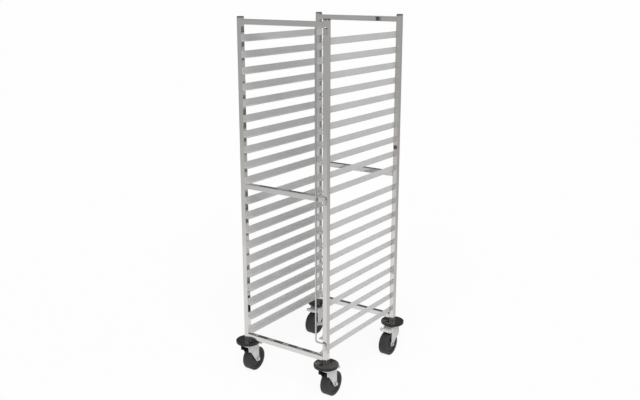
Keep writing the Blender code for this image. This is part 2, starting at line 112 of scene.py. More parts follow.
# Sizes of the looks alone: eased edges, and the stock and cutters that forks and pedals are cut with.
EASED_EDGE = 0.0008
PRESSED_EDGE = 0.0006
FLAT_MARGIN = 0.0004
CUT_MARGIN = 0.001
FORK_STOCK_LENGTH = 0.3
FORK_CUT_WIDTH = 0.1
FORK_CUT_RISE = 0.01

# Welds.
BEAD_RADIUS = 0.0009
BEAD_RIPPLE = 0.0016
BEAD_RIPPLE_SHARE = 0.16
BEAD_RIPPLE_STEPS = 4
BEAD_LEAST_STEPS = 8
BEAD_SIDES = 8
BEAD_TIP_SHARE = 0.35
BEAD_TAPER = 6
TACK_RADIUS = 0.0006
TACK_LIFT = 0.0001
EYE_WELD_SIDE = 0.0036
EYE_WELD_BACK = 0.0057
EYE_WELD_INSET = 0.002
BAIL_WELD_RADIUS = 0.00078

# Sides of a round rod or pin.
ROD_SIDES = 28

# Bumper: its bore, the parting line round its rim and a groove under it, from one radius to another.
BUMPER_BORE_RADIUS = 0.0064
BUMPER_PARTING = 0.0003
BUMPER_GROOVE = (0.036, 0.041)
BUMPER_GROOVE_DEPTH = 0.0008
BUMPER_GROOVE_SLOPE = 0.0005

# Wheel: the tyre's rings, then the core from its bore to its rim.
TYRE_BORE_RADIUS = 0.0445
TYRE_CHAMFER = 0.0012
TYRE_RINGS = (0.0490, 0.0545)
TYRE_RING_DEPTH = 0.0004
CORE_BORE_RADIUS = 0.0066
BEARING_RADIUS = 0.0108
BEARING_INSET = 0.0004
SEAL_RADIUS = 0.0128
SEAL_DEPTH = 0.0012
SEAL_SLOPE = 0.0004
HUB_ROUND = 0.001
HUB_FILLET = 0.003
WEB_INSET = 0.004
WEB_FLAT_RADIUS = 0.0335
RIM_FILLET = 0.0025
CORE_RADIUS = 0.0442
CORE_CHAMFER = 0.0012

# Swivel race: a lower ring, a gap and a narrower upper ring.
RACE_BORE_RADIUS = 0.010
RACE_SINK = 0.0002
RACE_LOWER_SHARE = 0.45
RACE_GAP_HEIGHT = 0.001
RACE_GAP_DEPTH = 0.004
RACE_UPPER_INSET = 0.0016
RACE_ROUND = 0.002

# Axle bolt and lock nut. A chamfer is what it takes off the width and where it starts below the top.
WASHER_BORE_RADIUS = 0.004
WASHER_RADIUS = 0.0095
WASHER_EDGE = 0.0002
WASHER_SINK = 0.0002
WASHER_MIDDLE = 0.0004
WASHER_HEIGHT = 0.0011
HEX_FOOT = 0.001
BOLT_CHAMFER = (0.003, 0.0011)
NUT_HEIGHT = 0.0066
NUT_CHAMFER = (0.0024, 0.0008)
COLLAR_BORE_RADIUS = 0.0046
COLLAR_RADIUS = 0.0078
COLLAR_FOOT = 0.0064
COLLAR_TOP = 0.0079
COLLAR_TAPER = 0.0002
COLLAR_CHAMFER = (0.001, 0.0005)
THREAD_RADIUS = 0.0047
THREAD_CORE_RADIUS = 0.0005
THREAD_FOOT = 0.006
THREAD_CHAMFER = 0.0006

# Brake pedal.
PEDAL_PIN_GAP = 0.0003
SHOE_OVERLAP = 0.0005
SHOE_ROUND = 0.0012

# Looks: the usual run of a noise, how the painted shade inside a fork fades past a face, toward the back
# and up from below, and how far in from a bumper's rim its scuffs start and are full.
NOISE_RUN = (0.3, 0.7)
PAINTED_SHADE_FADE = (0.0002, 0.0006)
PAINTED_SHADE_BACK = (0.016, 0.024)
PAINTED_SHADE_DROP = (0.026, 0.018)
SCUFF_REACH = (0.003, 0.0005)

# The floor, and how much of its white is its own, so that the shadow on it stays faint.
FLOOR_REACH = 300.0
FLOOR_TONES = (0.93, 0.95)
FLOOR_WHITE = 0.9

# The room that polished faces mirror: levels are (height, level), and 1 is white.
WALL_CENTRE = (-0.344, -0.49, 0.0)
WALL_RADIUS = 1.9
WALL_HEIGHT = 3.6
WALL_LIFT = 0.001
WALL_SIDES = 96
WALL_FLOOR_EDGE = 1.05
WALL_FRONT_LEVELS = ((0.0, 0.95), (0.004, 0.863), (1.0, 0.532), (1.9, 0.532), (2.4, 0.12))
WALL_REAR_LEVELS = ((0.0, 0.74), (0.004, 0.72), (0.8, 0.53), (1.9, 0.53), (2.4, 0.12))
WALL_REAR = (0.574, 0.819, 0.0)
WALL_REAR_FADE = (-0.6, 0.6)
WALL_BEHIND = (-0.574, 0.819, 0.0)
WALL_BEHIND_FADE = (0.65, 1.25)
WALL_BEHIND_LEVEL = 0.22

# The light on things, and the sky as the camera and mirrors see it.
SKY_LIGHT = 0.4
SKY_SHOWN = 1.0
KEY_ENERGY = 2.4
KEY_ANGLE = math.radians(50)
KEY_TILT = math.radians(45)
KEY_TURN = math.radians(35)

# The camera, fitted to the photograph.
CAMERA_PLACE = (2.297, -3.3334, 1.9703)
CAMERA_TILT = math.radians(75.095)
CAMERA_TURN = math.radians(34.737)
CAMERA_LENS = 46.235
CAMERA_SENSOR = 36.0
CAMERA_FAR = 2000.0

# Places taken from the frame.
rear_low, rear_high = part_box("rear_frame")
TUBE_SIDE = rear_high.y - rear_low.y
FOOT_Z = rear_low.z
TUBE_TOP_Z = rear_high.z - CAP_HEIGHT
UPRIGHT_X = rear_high.x - TUBE_SIDE / 2
UPRIGHT_Y = rear_high.y - TUBE_SIDE / 2
BAR_SEAM_X = UPRIGHT_X - TUBE_SIDE / 2
TOP_BAR_Z = TUBE_TOP_Z - TOP_BAR_DROP - BAR_SIDE / 2
MIDDLE_BAR_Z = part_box("runner_left_11")[0].z - MIDDLE_BAR_GAP - BAR_SIDE / 2
BOTTOM_BAR_Z = FOOT_Z + BOTTOM_BAR_LIFT + BAR_SIDE / 2
bail_low, bail_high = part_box("tray_stop_bail")
BAIL_X = bail_high.x - BAIL_RADIUS
BAIL_Y = (bail_low.y + bail_high.y) / 2
BAIL_HIGH = bail_high.z - BAIL_RADIUS
BAIL_MIDDLE = MIDDLE_BAR_Z + BAR_SIDE / 2
BAIL_LOW = bail_low.z + BAIL_PIN_LENGTH
BUMPER_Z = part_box("bumper_front_left")[0].z
WHEEL_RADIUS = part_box("wheel_front_left")[1].z / 2
CROWN_Z = 2 * WHEEL_RADIUS + CROWN_HEADROOM
HEAD_Z = CROWN_Z + FORK_SHEET
PEDAL_PIN_Z = CROWN_Z - PEDAL_PIN_DROP
CASTERS = [
    (f"{end}_{side}", Matrix.Translation((x, y, 0)) @ Matrix.Rotation(turn, 4, "Z"))
    for end, y, turn in (("front", -UPRIGHT_Y, 0.0), ("rear", UPRIGHT_Y, math.pi))
    for side, x in (("left", -UPRIGHT_X), ("right", UPRIGHT_X))
]

# Turns of what is made along Z: to lie along X, to lie along Y, and to stand as a side view across X.
ALONG_X = Matrix.Rotation(math.pi / 2, 4, "Y")
ALONG_Y = Matrix.Rotation(math.pi / 2, 4, "X")
SIDE_VIEW = Matrix.Rotation(math.pi / 2, 4, "Z") @ ALONG_Y


def add(tree, kind, inputs=None, **settings):
    """A new shader node: an input that is a socket is linked, and any other is a value."""
    node = tree.nodes.new("ShaderNode" + kind)
    for key, value in settings.items():
        setattr(node, key, value)
    for key, value in (inputs or {}).items():
        if isinstance(value, bpy.types.NodeSocket):
            tree.links.new(value, node.inputs[key])
        else:
            node.inputs[key].default_value = value
    return node


def noise(tree, vector, scale, detail, roughness=0.5):
    inputs = {"Vector": vector, "Scale": scale, "Detail": detail, "Roughness": roughness}
    return add(tree, "TexNoise", inputs).outputs["Fac"]


def stretched(tree, vector, scale):
    return add(tree, "Mapping", {"Vector": vector, "Scale": scale}).outputs["Vector"]


def ranged(tree, value, low, high, to_low, to_high):
    inputs = {"Value": value, "From Min": low, "From Max": high, "To Min": to_low, "To Max": to_high}
    return add(tree, "MapRange", inputs).outputs["Result"]


def spread(tree, value, to_low=0.0, to_high=1.0):
    """A noise drawn out from its usual run."""
    return ranged(tree, value, *NOISE_RUN, to_low, to_high)


def maths(tree, operation, first, second):
    return add(tree, "Math", {0: first, 1: second}, operation=operation).outputs["Value"]


def mixed(tree, factor, first, second):
    node = add(tree, "Mix", {0: factor, 6: first, 7: second}, data_type="RGBA")
    return node.outputs[2]


def bumped(tree, height, strength, distance):
    inputs = {"Height": height, "Strength": strength, "Distance": distance}
    return add(tree, "Bump", inputs).outputs["Normal"]


def upward(tree):
    """How far a face looks up: 1 for a level top."""
    normal = add(tree, "NewGeometry").outputs["Normal"]
    return add(tree, "SeparateXYZ", {0: normal}).outputs["Z"]


def grey(value, warmth=0.0):
    return (value * (1 + warmth), value, value * (1 - warmth), 1.0)


def new_material(name):
    material = bpy.data.materials.new(name)
    material.use_nodes = True
    tree = material.node_tree
    return material, tree, tree.nodes["Principled BSDF"]


def finish_shader(tree, shader, **sockets):
    """Links or sets the shader's inputs, named with _ for a space."""
    for key, value in sockets.items():
        socket = shader.inputs[key.replace("_", " ").title()]
        if isinstance(value, bpy.types.NodeSocket):
            tree.links.new(value, socket)
        else:
            socket.default_value = value


def steel(name, tone, roughness, grain, warmth=0.004, metallic=1.0, scuffs=0.0):
    """Metal with hairlines along the axis where grain is small, soft cloudy patches and faint smears, and
    with marks on its level tops where scuffs says."""
    material, tree, shader = new_material(name)
    place = add(tree, "TexCoord").outputs["Object"]
    hairlines = noise(tree, stretched(tree, place, grain), scale=1.0, detail=3.0, roughness=0.65)
    clouds = noise(tree, place, scale=3.5, detail=3.0)
    smears = noise(tree, place, scale=21.0, detail=5.0, roughness=0.6)
    plain = mixed(tree, spread(tree, clouds), grey(tone * 0.955, warmth), grey(tone * 1.03, warmth))
    line = ranged(tree, hairlines, 0.35, 0.65, 0.0, 0.3)
    colour = mixed(tree, line, plain, grey(tone * 0.84, warmth))
    rough = maths(
        tree,
        "ADD",
        ranged(tree, smears, 0.35, 0.75, roughness * 0.8, roughness * 1.4),
        spread(tree, hairlines, roughness * -0.2, roughness * 0.3),
    )
    if scuffs:
        up = upward(tree)
        rubbed = noise(tree, stretched(tree, place, (420.0, 2.5, 30.0)), scale=1.0, detail=2.0)
        mark = maths(
            tree,
            "MULTIPLY",
            ranged(tree, rubbed, 0.55, 0.68, 0.0, scuffs),
            ranged(tree, up, 0.85, 0.95, 0.0, 1.0),
        )
        colour = mixed(tree, mark, colour, grey(tone * 0.62))
    normal = bumped(tree, hairlines, strength=0.05, distance=0.0001)
    finish_shader(tree, shader, base_color=colour, roughness=rough, metallic=metallic, normal=normal)
    return material


def painted_fork_shade(tree, place):
    """Where a fork's inside is painted black as shade: 1 between its legs and under its crown, in the
    leading half or low down, but 0 on its lip.
    """
    near, far = PAINTED_SHADE_FADE
    bottom, top = PAINTED_SHADE_DROP
    lip_back = -FORK_LEAD + FORK_LIP_INSET + FORK_SHEET
    lip_foot = CROWN_Z - FORK_LIP
    at = add(tree, "SeparateXYZ", {0: place}).outputs
    across = maths(tree, "ABSOLUTE", at["X"], 0.0)
    between = ranged(tree, across, FORK_INNER + near, FORK_INNER + far, 1.0, 0.0)
    under = ranged(tree, at["Z"], CROWN_Z + near, CROWN_Z + far, 1.0, 0.0)
    leading = ranged(tree, at["Y"], *PAINTED_SHADE_BACK, 1.0, 0.0)
    low = ranged(tree, at["Z"], CROWN_Z - bottom, CROWN_Z - top, 1.0, 0.0)
    lip_front = ranged(tree, at["Y"], lip_back - far, lip_back - near, 1.0, 0.0)
    lip_high = ranged(tree, at["Z"], lip_foot - far, lip_foot - near, 0.0, 1.0)
    deep = maths(tree, "MAXIMUM", leading, low)
    behind = maths(tree, "SUBTRACT", deep, maths(tree, "MULTIPLY", lip_front, lip_high))
    return maths(tree, "MULTIPLY", maths(tree, "MULTIPLY", between, under), behind)


def zinc(name, tone, hollow=False):
    """Plating on pressed sheet: a faint spangle, spots of grime, and shade painted black and matt deep in
    a hollow fork.
    """
    material, tree, shader = new_material(name)
    place = add(tree, "TexCoord").outputs["Object"]
    cells = add(tree, "TexVoronoi", {"Vector": place, "Scale": 260.0}).outputs["Color"]
    spangle = add(tree, "SeparateColor", {0: cells}).outputs["Red"]
    clouds = noise(tree, place, scale=30.0, detail=4.0)
    spots = noise(tree, place, scale=140.0, detail=4.0, roughness=0.7)
    plating = mixed(tree, spread(tree, clouds), grey(tone * 0.93, 0.004), grey(tone * 1.07, 0.016))
    facets = mixed(tree, ranged(tree, spangle, 0.0, 1.0, 0.0, 0.12), plating, grey(tone * 0.83, -0.01))
    colour = mixed(tree, ranged(tree, spots, 0.66, 0.74, 0.0, 0.5), facets, grey(0.30, 0.05))
    metallic = 0.3
    if hollow:
        # Painted shade: the fork's inside, where its legs and crown shade it, is coloured near black and not
        # metallic.
        shaded_inside = painted_fork_shade(tree, place)
        colour = mixed(tree, shaded_inside, colour, grey(0.012, 0.02))
        metallic = ranged(tree, shaded_inside, 0.0, 1.0, metallic, 0.0)
    rough = ranged(tree, spangle, 0.0, 1.0, 0.48, 0.58)
    normal = bumped(tree, clouds, strength=0.12, distance=0.0006)
    finish_shader(tree, shader, base_color=colour, roughness=rough, metallic=metallic, normal=normal)
    return material


def weld_metal(name):
    """Weld metal with straw and blue heat tints."""
    material, tree, shader = new_material(name)
    place = add(tree, "TexCoord").outputs["Object"]
    tint = noise(tree, place, scale=90.0, detail=2.0)
    grain = noise(tree, place, scale=900.0, detail=3.0)
    straw = mixed(tree, ranged(tree, tint, 0.4, 0.7, 0.0, 1.0), grey(0.60, 0.005), (0.57, 0.53, 0.46, 1.0))
    colour = mixed(tree, ranged(tree, tint, 0.62, 0.75, 0.0, 0.5), straw, (0.44, 0.46, 0.50, 1.0))
    rough = spread(tree, grain, 0.26, 0.42)
    normal = bumped(tree, grain, strength=0.2, distance=0.0002)
    finish_shader(tree, shader, base_color=colour, roughness=rough, metallic=1.0, normal=normal)
    return material


def rubber(name, tone, dust):
    """Dark rubber with a fine skin, and as much pale dust as dust says."""
    material, tree, shader = new_material(name)
    place = add(tree, "TexCoord").outputs["Object"]
    skin = noise(tree, place, scale=1500.0, detail=2.0)
    blotches = noise(tree, place, scale=38.0, detail=5.0, roughness=0.62)
    plain = mixed(tree, spread(tree, blotches), grey(tone * 0.82), grey(tone * 1.15, 0.01))
    dusty = ranged(tree, blotches, 0.5, 0.75, 0.0, dust)
    colour = mixed(tree, dusty, plain, grey(tone * 2.6, 0.03))
    rough = spread(tree, blotches, 0.52, 0.70)
    normal = bumped(tree, skin, strength=0.12, distance=0.0002)
    finish_shader(tree, shader, base_color=colour, roughness=rough, normal=normal)
    return material


def bumper_plastic(name):
    """Smooth black plastic: a glossy top with a film of dust, sides darker and less shiny as painted shade,
    and a rim that door frames have scuffed.
    """
    material, tree, shader = new_material(name)
    place = add(tree, "TexCoord").outputs["Object"]
    flat = add(tree, "VectorMath", {0: place, 1: (1.0, 1.0, 0.0)}, operation="MULTIPLY").outputs["Vector"]
    radius = add(tree, "VectorMath", {0: flat}, operation="LENGTH").outputs["Value"]
    skin = noise(tree, place, scale=1100.0, detail=2.0)
    blotches = noise(tree, place, scale=55.0, detail=4.0)
    streaked = stretched(tree, place, (60.0, 60.0, 900.0))
    scratches = noise(tree, streaked, scale=1.0, detail=4.0, roughness=0.7)
    top = ranged(tree, upward(tree), 0.8, 0.98, 0.0, 1.0)
    film = mixed(tree, spread(tree, blotches), grey(0.016), grey(0.021, 0.01))
    # Painted shade: the sides are a darker black than the dusty top, by the way they face.
    plain = mixed(tree, top, grey(0.005), film)
    starts, full = [BUMPER_DIAMETER / 2 - inset for inset in SCUFF_REACH]
    at_rim = ranged(tree, radius, starts, full, 0.0, 1.0)
    scuffed = maths(tree, "MULTIPLY", at_rim, ranged(tree, scratches, 0.54, 0.62, 0.0, 0.4))
    colour = mixed(tree, scuffed, plain, grey(0.035, 0.01))
    rough = maths(
        tree,
        "ADD",
        spread(tree, blotches, 0.03, 0.05),
        ranged(tree, scuffed, 0.0, 0.4, 0.0, 0.3),
    )
    normal = bumped(tree, skin, strength=0.04, distance=0.0001)
    finish_shader(tree, shader, base_color=colour, roughness=rough, normal=normal)
    # Painted shade: the sides reflect less than the top.
    tree.links.new(ranged(tree, top, 0.0, 1.0, 0.4, 1.0), shader.inputs["Specular IOR Level"])
    return material


def loft(shape, rings, around=False, capped=True):
    """Joins rings of points with quads: all the way around, or with a cap on each end unless told not to."""
    made = [[shape.verts.new(point) for point in ring] for ring in rings]
    following = made[1:] + made[:1] if around else made[1:]
    for ring, after in zip(made, following):
        for i in range(len(ring)):
            shape.faces.new((ring[i - 1], ring[i], after[i], after[i - 1]))
    if capped and not around:
        shape.faces.new(made[0])
        shape.faces.new(made[-1])


def arc(centre, radius, start, end, steps=10):
    """Points on an arc in a plane, both ends included."""
    angles = [start + (end - start) * step / steps for step in range(steps + 1)]
    return [(centre[0] + radius * math.cos(a), centre[1] + radius * math.sin(a)) for a in angles]


def rounded_square(side, radius):
    """Four round corners, with a point a margin along each flat so that it shades flat."""
    flat = side / 2 - radius
    margin = flat - FLAT_MARGIN
    corner = [(side / 2, margin), *arc((flat, flat), radius, 0, math.pi / 2, 6), (margin, side / 2)]
    turns = [Matrix.Rotation(quarter * math.pi / 2, 2) for quarter in range(4)]
    return [turn @ Vector(point) for turn in turns for point in corner]


def eased_end(side, steps=3):
    """How far in from a tube's cut end, and how wide the tube is there."""
    turns = [math.pi / 2 * step / steps for step in range(steps + 1)]
    ease = 2 * EASED_EDGE
    rounding = [(EASED_EDGE * (1 - math.cos(turn)), side - ease * (1 - math.sin(turn))) for turn in turns]
    return rounding + [(EASED_EDGE + FLAT_MARGIN, side)]


def cut_tube(side, length):
    """The stations of a tube with two cut ends."""
    cut = eased_end(side)
    return cut + [(length - along, width) for along, width in reversed(cut)]


def domed_end(steps=10):
    """How far past an upright's end, and how wide the cap is there."""
    turns = [math.pi / 2 * step / steps for step in range(1, steps + 1)]
    spare = TUBE_SIDE - CAP_TOP_SIDE
    shares = [(math.sin(turn), math.cos(turn)) for turn in turns]
    return [(EASED_EDGE + (CAP_HEIGHT - EASED_EDGE) * up, CAP_TOP_SIDE + spare * out) for up, out in shares]


def beam(shape, turn, stations):
    """Square tube along Z, then turned: each station is a distance and the width of the section there."""
    rings = []
    for along, side in stations:
        section = rounded_square(side, CORNER_RADIUS * side / TUBE_SIDE)
        rings.append([turn @ Vector((x, y, along)) for x, y in section])
    loft(shape, rings)


def swept(shape, path, radii, sides):
    """A round bar along a path, with a radius at each point."""
    points = [Vector(point) for point in path]
    last = len(points) - 1
    normal = (points[1] - points[0]).orthogonal().normalized()
    rings = []
    for i, point in enumerate(points):
        tangent = (points[min(i + 1, last)] - points[max(i - 1, 0)]).normalized()
        normal = (normal - tangent * normal.dot(tangent)).normalized()
        across = tangent.cross(normal)
        turns = [2 * math.pi * step / sides for step in range(sides)]
        rings.append([point + radii[i] * (math.cos(a) * normal + math.sin(a) * across) for a in turns])
    loft(shape, rings)


def bead(shape, start, end, radius):
    """A rippled weld bead in a straight line, tapered at both ends."""
    run = Vector(end) - Vector(start)
    ripples = run.length / BEAD_RIPPLE
    count = max(BEAD_LEAST_STEPS, round(BEAD_RIPPLE_STEPS * ripples))
    path, radii = [], []
    for step in range(count + 1):
        share = step / count
        ripple = 1 - BEAD_RIPPLE_SHARE * (1 - math.cos(2 * math.pi * share * ripples))
        taper = min(1.0, BEAD_TIP_SHARE + BEAD_TAPER * min(share, 1 - share))
        path.append(Vector(start) + run * share)
        radii.append(radius * ripple * taper)
    swept(shape, path, radii, BEAD_SIDES)


def turned(shape, profile, steps, turn=Matrix.Identity(4)):
    """A closed profile of (radius, height) points turned about Z, then placed by a matrix."""
    rings = []
    for step in range(steps):
        angle = 2 * math.pi * step / steps
        spoke = [(r * math.cos(angle), r * math.sin(angle), height) for r, height in profile]
        rings.append([turn @ Vector(point) for point in spoke])
    loft(shape, rings, around=True)


def drawn(shape, section, length, turn):
    """A flat outline in XY drawn out both ways along Z, then turned."""
    ends = (-length / 2, length / 2)
    loft(shape, [[turn @ Vector((x, y, z)) for x, y in section] for z in ends])


def block(shape, low, high):
    (x0, y0, z0), (x1, y1, z1) = low, high
    loft(shape, [[(x0, y0, z), (x1, y0, z), (x1, y1, z), (x0, y1, z)] for z in (z0, z1)])


def mesh_of(name, shape, material, sharp=38.0):
    """A finished mesh, smooth but for edges that turn by more than sharp degrees."""
    bmesh.ops.recalc_face_normals(shape, faces=shape.faces)
    mesh = bpy.data.meshes.new(name)
    shape.to_mesh(mesh)
    shape.free()
    mesh.shade_smooth()
    mesh.set_sharp_from_angle(angle=math.radians(sharp))
    mesh.materials.append(material)
    return mesh


def pressed(name, shape, others, operation, edge, material):
    """A shape cut or trimmed by others, with its sharp edges eased."""
    scene = bpy.context.scene
    whole = bpy.data.objects.new(name, mesh_of(name, shape, material))
    scene.collection.objects.link(whole)
    helpers = []
    for other in others:
        tool = bpy.data.objects.new("tool", mesh_of("tool", other, material))
        scene.collection.objects.link(tool)
        helpers.append(tool)
        cut = whole.modifiers.new("cut", "BOOLEAN")
        cut.operation = operation
        cut.solver = "EXACT"
        cut.object = tool
    ease = whole.modifiers.new("ease", "BEVEL")
    ease.width = edge
    ease.segments = 2
    ease.limit_method = "ANGLE"
    ease.angle_limit = math.radians(35)
    bpy.context.view_layer.update()
    graph = bpy.context.evaluated_depsgraph_get()
    made = bmesh.new()
    made.from_mesh(bpy.data.meshes.new_from_object(whole.evaluated_get(graph), depsgraph=graph))
    for tool in [whole, *helpers]:
        bpy.data.objects.remove(tool)
    return made


def eased_block(name, low, high, edge, material):
    """The mesh of a box with eased edges."""
    shape = bmesh.new()
    block(shape, low, high)
    return mesh_of(name, pressed(name, shape, [], "UNION", edge, material), material)


def piece(name, mesh, body, node=None, place=Matrix.Identity(4)):
    """A shown piece that rides on a body, and stands for a CAD node where one is named."""
    obj = bpy.data.objects.new(name, mesh)
    bpy.context.scene.collection.objects.link(obj)
    obj.matrix_world = place
    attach(obj, body)
    if node:
        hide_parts(node)
    return obj


def bar_welds(shape, y, z, inward, above):
    """Beads at both ends of a cross bar: below it, on its inner side and, where asked, above it."""
    half = BAR_SIDE / 2
    run = half - CORNER_RADIUS
    inner = y + inward * half
    for x in (-BAR_SEAM_X, BAR_SEAM_X):
        bead(shape, (x, y - run, z - half), (x, y + run, z - half), BEAD_RADIUS)
        if above:
            bead(shape, (x, y - run, z + half), (x, y + run, z + half), BEAD_RADIUS)
        bead(shape, (x, inner, z - run), (x, inner, z + run), BEAD_RADIUS)


def frames(upright_steel, bar_steel, cap_plastic, weld):
    """At each end of the rack, two uprights with their caps, and three cross bars with their welds."""
    bar_length = 2 * (BAR_SEAM_X + EASED_EDGE)
    for end, y, inward in (("front", -UPRIGHT_Y, 1), ("rear", UPRIGHT_Y, -1)):
        node = f"{end}_frame"
        for side, x in (("left", -UPRIGHT_X), ("right", UPRIGHT_X)):
            shape = bmesh.new()
            beam(shape, Matrix.Translation((x, y, FOOT_Z)), cut_tube(TUBE_SIDE, TUBE_TOP_Z - FOOT_Z))
            name = f"upright_{end}_{side}"
            piece(name, mesh_of(name, shape, upright_steel), "rack", node)
            shape = bmesh.new()
            beam(shape, Matrix.Translation((x, y, TUBE_TOP_Z)), eased_end(TUBE_SIDE) + domed_end())
            name = f"tube_cap_{end}_{side}"
            piece(name, mesh_of(name, shape, cap_plastic), "rack", node)
        welds = bmesh.new()
        for level, z in (("top", TOP_BAR_Z), ("middle", MIDDLE_BAR_Z), ("bottom", BOTTOM_BAR_Z)):
            shape = bmesh.new()
            place = Matrix.Translation((-bar_length / 2, y, z)) @ ALONG_X
            beam(shape, place, cut_tube(BAR_SIDE, bar_length))
            name = f"cross_bar_{end}_{level}"
            piece(name, mesh_of(name, shape, bar_steel), "rack", node)
            bar_welds(welds, y, z, inward, above=level != "top")
        piece(f"welds_{end}_frame", mesh_of("welds", welds, weld), "rack", node)


def eyes(material, weld):
    """Three short sleeves on the front right upright, with a weld down each side."""
    outer, bore, ease = EYE_DIAMETER / 2, EYE_BORE / 2, EASED_EDGE / 2
    welds = bmesh.new()
    for name, arm in (("low", BAIL_LOW), ("middle", BAIL_MIDDLE), ("high", BAIL_HIGH)):
        top = arm - EYE_DROP
        foot = top - EYE_HEIGHT
        profile = [(bore, foot), (outer - ease, foot), (outer, foot + ease)]
        profile += [(outer, top - ease), (outer - ease, top), (bore + ease, top), (bore, top - ease)]
        shape = bmesh.new()
        turned(shape, profile, steps=48, turn=Matrix.Translation((BAIL_X, BAIL_Y, 0)))
        piece(f"hinge_eye_{name}", mesh_of("hinge eye", shape, material), "rack", "front_frame")
        for side in (-1, 1):
            x, y = BAIL_X + side * EYE_WELD_SIDE, BAIL_Y + EYE_WELD_BACK
            bead(welds, (x, y, foot + EYE_WELD_INSET), (x, y, top - EYE_WELD_INSET), TACK_RADIUS)
    piece("welds_hinge_eyes", mesh_of("eye welds", welds, weld), "rack", "front_frame")


def runner_section(leg, flange):
    """The bent sheet across a runner: a leg up the uprights and a flange inward, with rounded edges."""
    outer = RUNNER_BEND_RADIUS + RUNNER_SHEET
    edge = RUNNER_SHEET / 2
    near, far, top = outer + FLAT_MARGIN, flange - edge - FLAT_MARGIN, leg - edge - FLAT_MARGIN
    section = [(0, top), (0, near)]
    section += arc((outer, outer), outer, math.pi, 1.5 * math.pi, 8)
    section += [(near, 0), (far, 0)]
    section += arc((flange - edge, edge), edge, -math.pi / 2, math.pi / 2, 6)
    section += [(far, RUNNER_SHEET), (near, RUNNER_SHEET)]
    section += arc((outer, outer), RUNNER_BEND_RADIUS, 1.5 * math.pi, math.pi, 8)
    section += [(RUNNER_SHEET, near), (RUNNER_SHEET, top)]
    return section + arc((edge, leg - edge), edge, 0, math.pi, 6)


def runners(material, weld):
    """Twenty runners a side, each with a tack along its top edge at two uprights."""
    reach = TUBE_SIDE / 2 - CORNER_RADIUS
    for side, outward in (("left", -1), ("right", 1)):
        welds = bmesh.new()
        for level in range(1, RUNNER_COUNT + 1):
            node = f"runner_{side}_{level:02d}"
            low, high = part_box(node)
            section = runner_section(high.z - low.z, high.x - low.x)
            wall = low.x if outward < 0 else high.x
            shape = bmesh.new()
            loft(shape, [[(wall - outward * x, y, low.z + z) for x, z in section] for y in (low.y, high.y)])
            name = f"tray_runner_{side}_{level:02d}"
            piece(name, mesh_of(name, shape, material), "rack", node)
            for y in (-UPRIGHT_Y, UPRIGHT_Y):
                x, z = wall - outward * TACK_LIFT, high.z + TACK_LIFT
                bead(welds, (x, y - reach, z), (x, y + reach, z), TACK_RADIUS)
        piece(f"welds_runners_{side}", mesh_of("runner welds", welds, weld), "rack")


def bend(corner, arriving, leaving, steps=12):
    """Points round a right-angle bend of the bail, in XZ."""
    arriving, leaving = Vector(arriving), Vector(leaving)
    centre = Vector(corner) + BAIL_BEND_RADIUS * (leaving - arriving)
    points = []
    for step in range(steps + 1):
        angle = math.pi / 2 * step / steps
        point = centre + BAIL_BEND_RADIUS * (math.sin(angle) * arriving - math.cos(angle) * leaving)
        points.append((point.x, 0, point.y))
    return points


def bail(material, weld):
    """The bail's rod with its top and bottom arms, its middle arm, and the weld where that arm starts."""
    inward, outward, up, down = (-1, 0), (1, 0), (0, 1), (0, -1)
    path = [(0, 0, BAIL_HIGH - BAIL_PIN_LENGTH)]
    path += bend((0, BAIL_HIGH), up, inward)
    path += bend((-BAIL_REACH, BAIL_HIGH), inward, down)
    path += bend((-BAIL_REACH, BAIL_LOW), down, outward)
    path += bend((0, BAIL_LOW), outward, down)
    path += [(0, 0, BAIL_LOW - BAIL_PIN_LENGTH)]
    arm = [(-BAIL_REACH, 0, BAIL_MIDDLE)]
    arm += bend((0, BAIL_MIDDLE), outward, down)
    arm += [(0, 0, BAIL_MIDDLE - BAIL_PIN_LENGTH)]
    rod = bmesh.new()
    swept(rod, path, [BAIL_RADIUS] * len(path), ROD_SIDES)
    middle = bmesh.new()
    swept(middle, arm, [BAIL_ARM_RADIUS] * len(arm), ROD_SIDES)
    root = bmesh.new()
    ring = arc((BAIL_ARM_RADIUS, 0), BAIL_WELD_RADIUS, 0, 2 * math.pi, 10)[:-1]
    arm_start = Matrix.Translation((-BAIL_REACH + BAIL_RADIUS, 0, BAIL_MIDDLE))
    turned(root, ring, steps=40, turn=arm_start @ ALONG_X)
    place = Matrix.Translation((BAIL_X, BAIL_Y, 0))
    for name, mesh in (
        ("bail_rod", mesh_of("bail rod", rod, material)),
        ("bail_middle_arm", mesh_of("bail arm", middle, material)),
        ("weld_bail_arm", mesh_of("bail weld", root, weld)),
    ):
        piece(name, mesh, "bail", "tray_stop_bail", place)


def bumper_mesh(material):
    """A flat disc with rounded edges, a parting line round its rim and a groove under it."""
    rim = BUMPER_DIAMETER / 2
    turn = rim - BUMPER_ROUND
    middle = BUMPER_HEIGHT / 2
    flat = turn - FLAT_MARGIN
    inner, outer = BUMPER_GROOVE
    profile = [(BUMPER_BORE_RADIUS, 0.0), (inner, 0.0), (inner + BUMPER_GROOVE_SLOPE, BUMPER_GROOVE_DEPTH)]
    profile += [(outer - BUMPER_GROOVE_SLOPE, BUMPER_GROOVE_DEPTH), (outer, 0.0), (flat, 0.0)]
    profile += arc((turn, BUMPER_ROUND), BUMPER_ROUND, -math.pi / 2, 0, 8)
    profile += [(rim, middle - 2 * BUMPER_PARTING), (rim - BUMPER_PARTING, middle)]
    profile += [(rim, middle + 2 * BUMPER_PARTING)]
    profile += arc((turn, BUMPER_HEIGHT - BUMPER_ROUND), BUMPER_ROUND, 0, math.pi / 2, 8)
    profile += [(flat, BUMPER_HEIGHT), (BUMPER_BORE_RADIUS, BUMPER_HEIGHT)]
    shape = bmesh.new()
    turned(shape, profile, steps=128)
    return mesh_of("bumper disc", shape, material)


